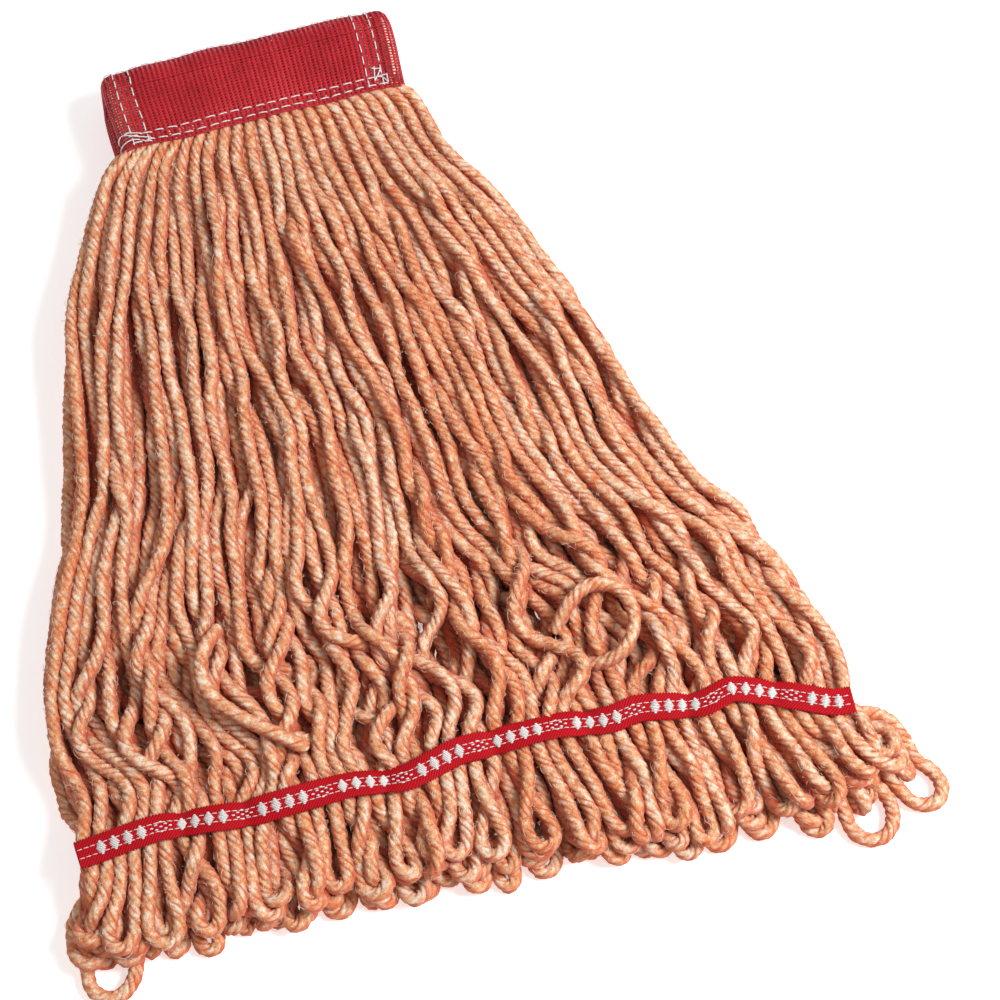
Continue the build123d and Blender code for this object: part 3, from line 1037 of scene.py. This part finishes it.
def section_table():
    """The sleeve's rounded section as places x and w with normals, by distance round it."""
    quarter = np.linspace(0, np.pi / 2, 60)
    corners = []
    for cx, cw, start in (
        (FLAT_HALF, SIDE_FLAT, np.pi / 2),
        (FLAT_HALF, -SIDE_FLAT, 0.0),
        (-FLAT_HALF, -SIDE_FLAT, -np.pi / 2),
        (-FLAT_HALF, SIDE_FLAT, np.pi),
    ):
        nx, nw = np.cos(start - quarter), np.sin(start - quarter)
        x, w = cx + END_RADIUS * squarer(nx), cw + END_RADIUS * squarer(nw)
        corners.append(np.stack([x, w, nx, nw], axis=1))
    ring = np.concatenate(corners + [corners[0][:1]])
    steps = np.linalg.norm(np.diff(ring[:, :2], axis=0), axis=1)
    return ring, np.concatenate([[0], np.cumsum(steps)])


SECTION, SECTION_ALONG = section_table()
SECTION_LENGTH = SECTION_ALONG[-1]
pucker = wave_field(7, 26.0, 60.0)
edge_wave = wave_field(4, 30.0, 70.0)


def as_arrays(*values):
    """The values as arrays of numbers that have one shape."""
    return np.broadcast_arrays(*(np.asarray(value, float) for value in values))


def net_point(p, v, height):
    """Places on the sleeve: p round its section, v along the strip, height above it.

    v runs from 0 at the lower leg's edge, round the fold, to NET_TOTAL at the upper leg's edge.
    """
    p, v, height = as_arrays(p, v, height)
    turned = np.mod(p, SECTION_LENGTH)
    x, w, nx, nw = (np.interp(turned, SECTION_ALONG, SECTION[:, k]) for k in range(4))
    size = np.hypot(nx, nw)
    nx, nw = nx / size, nw / size
    from_edge = np.minimum(v, NET_TOTAL - v)
    seam_dip = 0.9 * np.exp(-(((from_edge - 5.5) / 4.0) ** 2))
    end_dip = 0.55 * np.exp(-(((np.abs(x) - 63.0) / 5.0) ** 2))
    crown = 0.9 * smoothstep((from_edge - 6) / 16) * (1 - (x / BAND_HALF) ** 2)
    ridges = 0.3 * pucker(1.0 * x, 0.22 * v + 500 * (w > 0))
    height = height + (crown - seam_dip - end_dip + ridges) * np.abs(nw)
    x = x + nx * height
    w = w + nw * height
    folded = smoothstep(from_edge / LEG_LENGTH)
    lower_lean = 4.0 * (1 - smoothstep((v - 8) / (FOLD_END - 8)))
    x = x * (1.012 + 0.03 * folded) + 0.9 - lower_lean
    rho = LEG_CENTRE + w
    angle = (v - LEG_LENGTH) / FOLD_ARC * math.pi - math.pi / 2
    angle = np.clip(angle, -math.pi / 2, math.pi / 2)
    leg = np.maximum(LEG_LENGTH - v, 0) + np.maximum(v - LEG_LENGTH - FOLD_ARC, 0)
    ragged = 0.7 * edge_wave(x, 40 * (w > 0) + 0 * x) * smoothstep((10 - from_edge) / 10)
    y = FOLD_Y + rho * np.cos(angle) - leg - ragged
    z = np.maximum(FOLD_Z + rho * np.sin(angle), ON_FLOOR)
    return np.stack([x, y, z], axis=-1)


# A rib and its hole take five lines of points across, and a bar and its hole three along
RIB_PLACES = np.array([0.0, 0.22, 0.5, 0.78])
RIB_HEIGHTS = np.array([0.0, 0.0, 0.13, 0.18, 0.13])
RIB_LINES = len(RIB_HEIGHTS)
BAR_LINES = 3


def net_piece(name, v_start, v_end, rows):
    """A length of the sleeve as an open net: raised ribs along it, thin bars across, real holes."""
    pitch_p = SECTION_LENGTH / RIB_COUNT
    pitch_v = (v_end - v_start) / rows
    k = np.arange(RIB_COUNT)
    rib_x = np.interp((k + 0.5) * pitch_p, SECTION_ALONG, SECTION[:, 0])
    hole_across = (HOLE_ACROSS + 0.17 * smoothstep((np.abs(rib_x) - 62) / 8))[:, None]
    rib_at = hole_across + (1 - hole_across) * RIB_PLACES[None]
    column_at = np.concatenate([np.zeros((RIB_COUNT, 1)), rib_at], axis=1)
    row_at = np.array([0.0, HOLE_ALONG, (1 + HOLE_ALONG) / 2])
    p = (k[:, None] + column_at).ravel() * pitch_p
    v = (np.arange(rows)[:, None] + row_at).ravel() * pitch_v + v_start
    v = np.append(v, v_end)
    columns, lines = np.arange(len(p)), np.arange(len(v))
    hole_column = columns % RIB_LINES <= 1
    height = np.tile(RIB_HEIGHTS, RIB_COUNT)[None, :] * np.ones((len(v), 1))
    bar_height = np.where(hole_column, 0.16, 0.08)[None]
    height = height + np.where((lines % BAR_LINES == 2)[:, None], bar_height, 0.0)
    sway = np.where(columns % RIB_LINES == 3, 0.13, 0.0)[None, :]
    sway = sway * np.where((lines // BAR_LINES) % 2, 1.0, -1.0)[:, None]
    outer = net_point(p[None, :] + sway, v[:, None], height)
    inner_lines = np.append(lines[:-1][lines[:-1] % BAR_LINES <= 1], len(v) - 1)
    inner = net_point(p[None, hole_column], v[inner_lines, None], -NET_THICKNESS)
    points = np.concatenate([outer.reshape(-1, 3), inner.reshape(-1, 3)])
    o = np.arange(outer[..., 0].size).reshape(outer.shape[:2])
    i = o.size + np.arange(inner[..., 0].size).reshape(inner.shape[:2])
    hole = (lines[:-1] % BAR_LINES == 0)[:, None] & (columns % RIB_LINES == 0)[None, :]
    inner_hole = np.indices((len(i) - 1, i.shape[1])) % 2 == 0
    a, b = o[:-1][~hole], np.roll(o[:-1], -1, 1)[~hole]
    quads = [corner_faces(a, b, np.roll(o[1:], -1, 1)[~hole], o[1:][~hole])]
    solid = ~inner_hole.all(axis=0)
    a, b = i[:-1][solid], np.roll(i[:-1], -1, 1)[solid]
    quads.append(corner_faces(i[1:][solid], np.roll(i[1:], -1, 1)[solid], b, a))
    left, right = RIB_LINES * k, RIB_LINES * k + 1
    for row in range(rows):
        near, far = (
            (
                o[BAR_LINES * row + side][left],
                o[BAR_LINES * row + side][right],
                i[2 * row + side][2 * k],
                i[2 * row + side][2 * k + 1],
            )
            for side in (0, 1)
        )
        # The first hole's near wall would lie on the rim, so it is left out
        if row:
            quads.append(corner_faces(near[1], near[0], near[2], near[3]))
        quads.append(corner_faces(far[0], far[1], far[3], far[2]))
        quads.append(corner_faces(near[0], far[0], far[2], near[2]))
        quads.append(corner_faces(far[1], near[1], near[3], far[3]))
    quads.append(corner_faces(o[-1][left], o[-1][right], i[-1][2 * k + 1], i[-1][2 * k]))
    rims = []
    for line, inner_line in ((o[0], i[0]), (o[-1], i[-1])):
        top = [line[left + n] for n in (1, 2, 3, 4)] + [np.roll(line, -RIB_LINES)[left]]
        rims.append(corner_faces(*top, np.roll(inner_line, -2)[2 * k], inner_line[2 * k + 1]))
    faces = [np.concatenate(quads), np.concatenate([rims[0][:, ::-1], rims[1]])]
    piece = mesh_piece(name, points, faces, NET, flat=2 * RIB_COUNT)
    return piece


def bend_fold_piece(piece, lower):
    """Bakes a piece's transform into its mesh, the same for a piece on either side of the fold.
    """
    if lower:
        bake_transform(piece)
    else:
        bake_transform(piece)


# Half of the fold, measured along its middle, between its long outer face and short inner face
HALF_FOLD = math.pi / 2 * LEG_CENTRE
for name, v_start, v_end, rows, stem, flat_length in (
    ("net_lower_leg", 0.0, LEG_LENGTH, LEG_ROWS, "lower_headband", LEG_LENGTH),
    ("net_upper_leg", FOLD_END, NET_TOTAL, LEG_ROWS, "upper_headband", LEG_LENGTH),
    ("net_fold_lower", LEG_LENGTH, FOLD_MIDDLE, HALF_FOLD_ROWS, "fold", HALF_FOLD),
    ("net_fold_upper", FOLD_MIDDLE, FOLD_END, HALF_FOLD_ROWS, "fold", HALF_FOLD),
):
    net = net_piece(name, v_start, v_end, rows)
    bend_fold_piece(net, "lower" in name)
    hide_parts(f"{stem}_mesh")

# ---------------------------------------------------------------- yarn inside the headband

CORE_PER_FACE = 27
CORE_RADIUS = 2.6
CORE_DEPTH = CORE_RADIUS + 2.2
CORE_END = 8.0
CORE_SHADE = 0.9
# The tubes at the strip's two ends, which show through the net there: they get no painted shade and a
# paler tone, which is painted light.
CORE_ENDS = (-6, -5, -4, -3, -2, -1)
PALE_CORES = (*CORE_ENDS, 0, 1, 25, 26, 27, 28, 52, 53)


def core_piece(name, v_start, v_end):
    """The yarn packed inside one length of the sleeve, along both faces and at both ends."""
    v = np.linspace(v_start, v_end, max(int((v_end - v_start) / RING_STEP), 8))
    face = (np.arange(CORE_PER_FACE) + 0.5) / CORE_PER_FACE * 2 * FLAT_HALF
    # The section starts at its right end's upper corner and runs round by the right end
    right_end = END_TURN / 2
    left_end = END_TURN + 2 * FLAT_HALF + END_TURN / 2
    faces = np.concatenate([END_TURN + face, 2 * END_TURN + 2 * FLAT_HALF + face])
    lines = [net_point(p, v, -CORE_DEPTH) for p in faces]
    for side in (right_end, left_end):
        for spread in (-7.5, 0, 7.5):
            lines.append(net_point(side + spread, v, -CORE_RADIUS - NET_THICKNESS))
    tones = rng.normal(0, 0.05, len(lines))
    # Painted light: the six tubes round the two ends are made paler.
    tones[-6:] += 0.35
    # Painted shade on the cores under the net's faces, so that its holes look dark there; the pale cores
    # get none.
    shaded = np.full((len(lines), len(v)), CORE_SHADE)
    for k in PALE_CORES:
        shaded[k] = -1.0
        tones[k] += 0.1
    radii = np.full((len(lines), len(v)), CORE_RADIUS)
    piece = yarn_tubes(name, lines, radii, tones, shaded)
    return piece


for name, v_start, v_end, node_name in (
    ("core_lower_leg", CORE_END, LEG_LENGTH, "lower_headband_yarn"),
    ("core_upper_leg", FOLD_END, NET_TOTAL - CORE_END, "upper_headband_yarn"),
    ("core_fold_lower", LEG_LENGTH, FOLD_MIDDLE, "fold_yarn"),
    ("core_fold_upper", FOLD_MIDDLE, FOLD_END, "fold_yarn"),
):
    core = core_piece(name, v_start, v_end)
    bend_fold_piece(core, "lower" in name)
    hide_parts(node_name)

# ---------------------------------------------------------------- sewing thread

THREAD_SIDES = 8
THREAD_RADIUS = 0.36


def thread_tubes(name, lines, radius):
    """One piece of closed round threads along lines of points."""
    points, faces, caps, base = [], [], [], 0
    corner = 2 * np.pi * np.arange(THREAD_SIDES) / THREAD_SIDES
    for line in lines:
        rings = len(line)
        twist = corner[None] + 0.9 * np.arange(rings)[:, None]
        size = radius * (1 + 0.08 * np.cos(2 * corner))[None] * np.ones((rings, 1))
        size[[0, -1]] *= 0.6
        tube = line[:, None, :] + size[..., None] * ring_directions(line, twist)
        tube[..., 2] = np.maximum(tube[..., 2], ON_FLOOR)
        index = base + np.arange(rings * THREAD_SIDES).reshape(rings, THREAD_SIDES)
        points.append(tube.reshape(-1, 3))
        faces.append(tube_faces(index))
        caps += [index[0][::-1], index[-1]]
        base += rings * THREAD_SIDES
    faces = [np.concatenate(faces), np.array(caps)]
    piece = mesh_piece(name, np.concatenate(points), faces, THREAD)
    return piece


def face_p(x, outer=True):
    """The distance round the section of a place x on the outer or the inner face."""
    x = np.asarray(x, float)
    past = np.maximum(np.abs(x) - FLAT_HALF, 0)
    arc = END_RADIUS * np.arcsin(np.minimum(past / END_RADIUS, 0.98))
    reach = np.sign(x) * (np.minimum(np.abs(x), FLAT_HALF) + arc)
    if outer:
        return 2 * END_TURN + 2 * FLAT_HALF + (reach + FLAT_HALF)
    return END_TURN + (FLAT_HALF - reach)


STITCH_POINTS = 9
STITCH_LENGTH = 5.0
STITCH_PITCH = 6.9
EDGE_ROWS = (3.0, 8.0)
END_ROWS = (9.0, 17.0)
FOLD_ROW_TURN = 125
ENDS_CLEAR = 1.0


def stitch(x_start, v_start, x_end, v_end, outer=True):
    """One stitch lying on the net, with its ends going down into it."""
    t = np.linspace(0, 1, STITCH_POINTS)
    lift = 0.75 - 0.85 * np.abs(2 * t - 1) ** 5
    x = x_start + (x_end - x_start) * t
    v = v_start + (v_end - v_start) * t
    return net_point(face_p(x, outer), v, lift)


def edge_rows(edge_v, direction, outer):
    """The two rows of lockstitch along an edge of the strip."""
    lines = []
    for setback in EDGE_ROWS:
        v = edge_v + direction * setback
        start = -(BAND_HALF - 6.5) + rng.uniform(0, 2)
        while start + STITCH_LENGTH < BAND_HALF - 5.5:
            run = STITCH_LENGTH + rng.normal(0, 0.25)
            drift = rng.normal(0, 0.16, 2)
            lines.append(stitch(start, v + drift[0], start + run, v + drift[1], outer))
            start += run + (STITCH_PITCH - STITCH_LENGTH) * rng.uniform(0.6, 1.15)
    return lines


def end_rows(v_start, v_end, outer):
    """The rows of lockstitch across the strip near its two ends, between two places along it."""
    lines = []
    pitch = STITCH_PITCH if outer else STITCH_PITCH * 0.9
    count = max(int((v_end - v_start) / pitch), 1)
    step = (v_end - v_start) / count
    for x in [side * (BAND_HALF - setback) for side in (-1, 1) for setback in END_ROWS]:
        for k in range(count):
            start = v_start + (k + 0.14) * step
            drift = rng.normal(0, 0.14, 2)
            end = start + 0.72 * step
            lines.append(stitch(x + drift[0], start, x + drift[1], end, outer))
    return lines


for name, edge_v, direction, body, node_name in (
    ("thread_lower_edge", 0.0, 1, "lower_half", "lower_band_edge_seam"),
    ("thread_upper_edge", NET_TOTAL, -1, "upper_headband", "upper_band_edge_seam"),
):
    rows = edge_rows(edge_v, direction, True) + edge_rows(edge_v, direction, False)
    seam = thread_tubes(name, rows, THREAD_RADIUS)
    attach(seam, body)
    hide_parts(node_name)
for name, v_start, v_end, lower, node_name in (
    ("thread_lower_ends", ENDS_CLEAR, LEG_LENGTH, True, "lower_band_end_seams"),
    ("thread_upper_ends", FOLD_END, NET_TOTAL - ENDS_CLEAR, False, "upper_band_end_seams"),
):
    rows = end_rows(v_start, v_end, True) + end_rows(v_start, v_end, False)
    seam = thread_tubes(name, rows, THREAD_RADIUS)
    bend_fold_piece(seam, lower)
    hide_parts(node_name)
fold_row_v = LEG_LENGTH + FOLD_ARC * FOLD_ROW_TURN / 180
fold_rows_high = end_rows(FOLD_MIDDLE, FOLD_END, True)
start = -(BAND_HALF - 4.0)
while start + STITCH_LENGTH < BAND_HALF - 3.0:
    end = start + STITCH_LENGTH
    fold_rows_high.append(stitch(start, fold_row_v + rng.normal(0, 0.2), end, fold_row_v))
    start += STITCH_PITCH
seam = thread_tubes("thread_fold_upper", fold_rows_high, THREAD_RADIUS)
bend_fold_piece(seam, False)
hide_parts("fold_seam")
fold_rows_low = end_rows(LEG_LENGTH, FOLD_MIDDLE, True)
bend_fold_piece(thread_tubes("thread_fold_lower", fold_rows_low, THREAD_RADIUS), True)


def loose_thread(places, smooth):
    """A thread over the upper leg's outside, through places x and distance from its edge."""
    flat = np.array([(x, down, 0) for x, down in places], float)
    flat = through(flat, 8) if smooth else evenly(flat, 8 * len(places))
    t = np.linspace(0, 1, len(flat))
    lift = 0.8 + 0.15 * np.sin(9 * t) - 1.1 * np.abs(2 * t - 1) ** 12
    return net_point(face_p(flat[:, 0]), NET_TOTAL - flat[:, 1], lift)


left_threads = [
    ([(-75.7, 7.1), (-74.2, 9.0), (-71.2, 9.7), (-65.3, 7.3), (-57.0, 4.2)], True),
    ([(-71.2, 9.5), (-68.0, 10.0), (-65.0, 9.2), (-61.5, 8.2)], True),
    ([(-75.9, 2.2), (-75.0, 4.0), (-72.8, 4.9), (-67.7, 5.6), (-63.1, 4.7)], True),
    ([(-63.0, 4.2), (-60.5, 2.4), (-57.5, 1.6)], True),
]
right_threads = [
    ([(62.0, 13.4), (67.1, 12.0)], False),
    ([(67.1, 12.0), (62.7, 5.8)], False),
    ([(62.7, 5.8), (64.0, 14.5)], False),
    ([(63.5, 8.2), (66.8, 7.2), (69.4, 3.3)], True),
    ([(69.4, 3.3), (69.5, 8.5)], False),
]
for side, threads in (("left", left_threads), ("right", right_threads)):
    lines = [loose_thread(places, smooth) for places, smooth in threads]
    tack = thread_tubes(f"thread_{side}_backtack", lines, THREAD_RADIUS)
    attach(tack, "upper_headband")
    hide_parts(f"{side}_backtack")

# ---------------------------------------------------------------- tail tapes

TAPE_HALF = 6.6
TAPE_THICKNESS = 0.7
TAPE_ACROSS = 16
TAPE_STEP = 0.7
PICOT = 0.4
TWILL_PITCH = 2.1
tape_sway = wave_field(4, 60.0, 120.0)


class TapeRun:
    """Where a tape lies: its centre line with its across and upward directions."""

    def __init__(self, x_start, x_end, height, wave):
        x = np.linspace(x_start, x_end, 900)
        kernel = np.hanning(41)
        kernel /= kernel.sum()
        y = np.pad(tape_y(x), 20, "reflect", reflect_type="odd")
        z = np.pad(height + wave * tape_lift(x), 10, "edge")
        z = np.convolve(z, np.ones(21) / 21, "valid")
        line = np.stack([x, np.convolve(y, kernel, "valid"), z], axis=1)
        self.wave = wave
        self.length = line_length(line)
        self.line = evenly(line, int(self.length / TAPE_STEP) + 1)
        self.along = np.linspace(0, self.length, len(self.line))
        tangent = unit(np.gradient(self.line, axis=0))
        roll = wave * math.radians(6) * tape_sway(self.line[:, 0] + 900, 0 * self.line[:, 0])
        across = unit(np.cross(np.tile([0.0, 0.0, 1.0], (len(tangent), 1)), tangent))
        normal = np.cross(tangent, across)
        self.across = across * np.cos(roll)[:, None] + normal * np.sin(roll)[:, None]
        self.normal = np.cross(tangent, self.across)

    def place(self, along, across, height):
        """Points on the tape's crowned top."""
        along, across, height = as_arrays(along, across, height)
        middle, side, normal = (
            np.stack([np.interp(along, self.along, part[:, k]) for k in range(3)], axis=-1)
            for part in (self.line, self.across, self.normal)
        )
        away = np.abs(middle[..., :1] - TAPE_PINCHES).min(axis=-1)
        gathered = self.wave * np.exp(-((away / 3.2) ** 2))
        crown = 0.45 * (1 - (across / TAPE_HALF) ** 2) - 0.5 * gathered
        across = across * (1 - 0.13 * gathered)
        return middle + side * across[..., None] + normal * (height + crown)[..., None]


def tape_piece(name, run):
    """A woven tape: a thin closed strip with a fine picot edge."""
    rows, width = len(run.along), TAPE_ACROSS + 1
    picot = PICOT * np.where(np.arange(rows) % 2, 1.0, -1.0)
    spread = np.tile(np.linspace(-TAPE_HALF, TAPE_HALF, width), (rows, 1))
    spread[:, 0] -= picot
    spread[:, -1] += picot
    along = np.tile(run.along[:, None], (1, width))
    ribs = 0.05 * np.sin((along + 0.8 * spread) * 2 * np.pi / TWILL_PITCH)
    top = run.place(along, spread, TAPE_THICKNESS + ribs)
    bottom = run.place(along, spread, 0.0)
    points = np.concatenate([top.reshape(-1, 3), bottom.reshape(-1, 3)])
    t = np.arange(rows * width).reshape(rows, width)
    b = t + rows * width
    quads = [
        corner_faces(t[:-1, :-1], t[1:, :-1], t[1:, 1:], t[:-1, 1:]),
        corner_faces(b[:-1, :-1], b[:-1, 1:], b[1:, 1:], b[1:, :-1]),
        corner_faces(t[:-1, 0], b[:-1, 0], b[1:, 0], t[1:, 0]),
        corner_faces(t[:-1, -1], t[1:, -1], b[1:, -1], b[:-1, -1]),
        corner_faces(t[0, :-1], t[0, 1:], b[0, 1:], b[0, :-1]),
        corner_faces(t[-1, 1:], t[-1, :-1], b[-1, :-1], b[-1, 1:]),
    ]
    place = np.stack([along, spread, 0 * along], axis=-1).reshape(-1, 3)
    woven = [("tape_place", "FLOAT_VECTOR", np.concatenate([place, place]))]
    piece = mesh_piece(name, points, [np.concatenate(quads)[:, ::-1]], TAPE, woven)
    return piece


top_run = TapeRun(-179.0, 196.5, TAPE_TOP + 0.3, 1.0)
under_run, lower_run, floor_run = (
    TapeRun(-178.0, 190.0, height, 0.12)
    for height in (TAPE_UNDER - 1.0, TAPE_LOWER_TOP + 0.1, 0.5)
)
for name, run, body, yarn_piece, node_name in (
    ("tape_upper_top", top_run, "upper_yarn", "yarn_upper_4", "upper_tail_tape_top"),
    ("tape_upper_under", under_run, "upper_yarn", "yarn_upper_4", "upper_tail_tape_under"),
    ("tape_lower_top", lower_run, "lower_half", "yarn_lower_4", "lower_tail_tape_top"),
    ("tape_lower_floor", floor_run, "lower_half", "yarn_lower_4", "lower_tail_tape_floor"),
):
    tape = tape_piece(name, run)
    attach(tape, body)
    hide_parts(node_name)

WEAVE_LIFT = TAPE_THICKNESS + 0.1
DASH_ROWS = (-2.15, 2.15)
DASH_LENGTH = 2.6
DASH_PITCH = 3.1
DASH_RADIUS = 0.21
MOTIF_START = 12.0
MOTIF_PITCH = 39.0
LOZENGE_PITCH = 6.6
LOZENGES = 4
DOTS_AFTER = 29.0
DOT_LENGTH = 1.5
# Each row of the motif: its place across the tape, with a lozenge's width or its dots' places
LOZENGE_ROWS = [
    (-3.0, 1.2), (-2.25, 2.4), (-1.5, 3.5), (-0.75, 4.5), (0.0, 5.4), (0.75, 4.5), (1.5, 3.5),
    (2.25, 2.4), (3.0, 1.2),
]
DOT_ROWS = [
    (-2.4, (0.0,)), (-1.2, (-2.2, 2.2)), (0.0, (-4.4, 0.0, 4.4)), (1.2, (-2.2, 2.2)), (2.4, (0.0,)),
]


def tape_float(along, across, length, slant=0.0):
    """One white thread lying on the top tape, with its ends woven in."""
    t = np.linspace(-0.5, 0.5, 7)
    lift = WEAVE_LIFT + 0.18 - 0.5 * np.abs(2 * t) ** 4
    return top_run.place(along + length * t, across + slant * t, lift)


dashes = []
for offset in DASH_ROWS:
    at = 2.0
    while at < top_run.length - 2:
        dashes.append(tape_float(at, offset, DASH_LENGTH, rng.normal(0, 0.08)))
        at += DASH_PITCH
rows_sewn = thread_tubes("thread_tape_rows", dashes, DASH_RADIUS)
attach(rows_sewn, "upper_yarn")
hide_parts("upper_tail_stitching")

motif = []
start = MOTIF_START
while start < top_run.length - 8:
    for k in range(LOZENGES):
        middle = start + LOZENGE_PITCH * k
        if middle <= top_run.length - 4:
            motif += [tape_float(middle, across, length) for across, length in LOZENGE_ROWS]
    for across, places in DOT_ROWS:
        for place in places:
            if start + DOTS_AFTER + place < top_run.length - 3:
                motif.append(tape_float(start + DOTS_AFTER + place, across, DOT_LENGTH))
    start += MOTIF_PITCH
woven = thread_tubes("thread_tape_motif", motif, THREAD_RADIUS)
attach(woven, "upper_yarn")
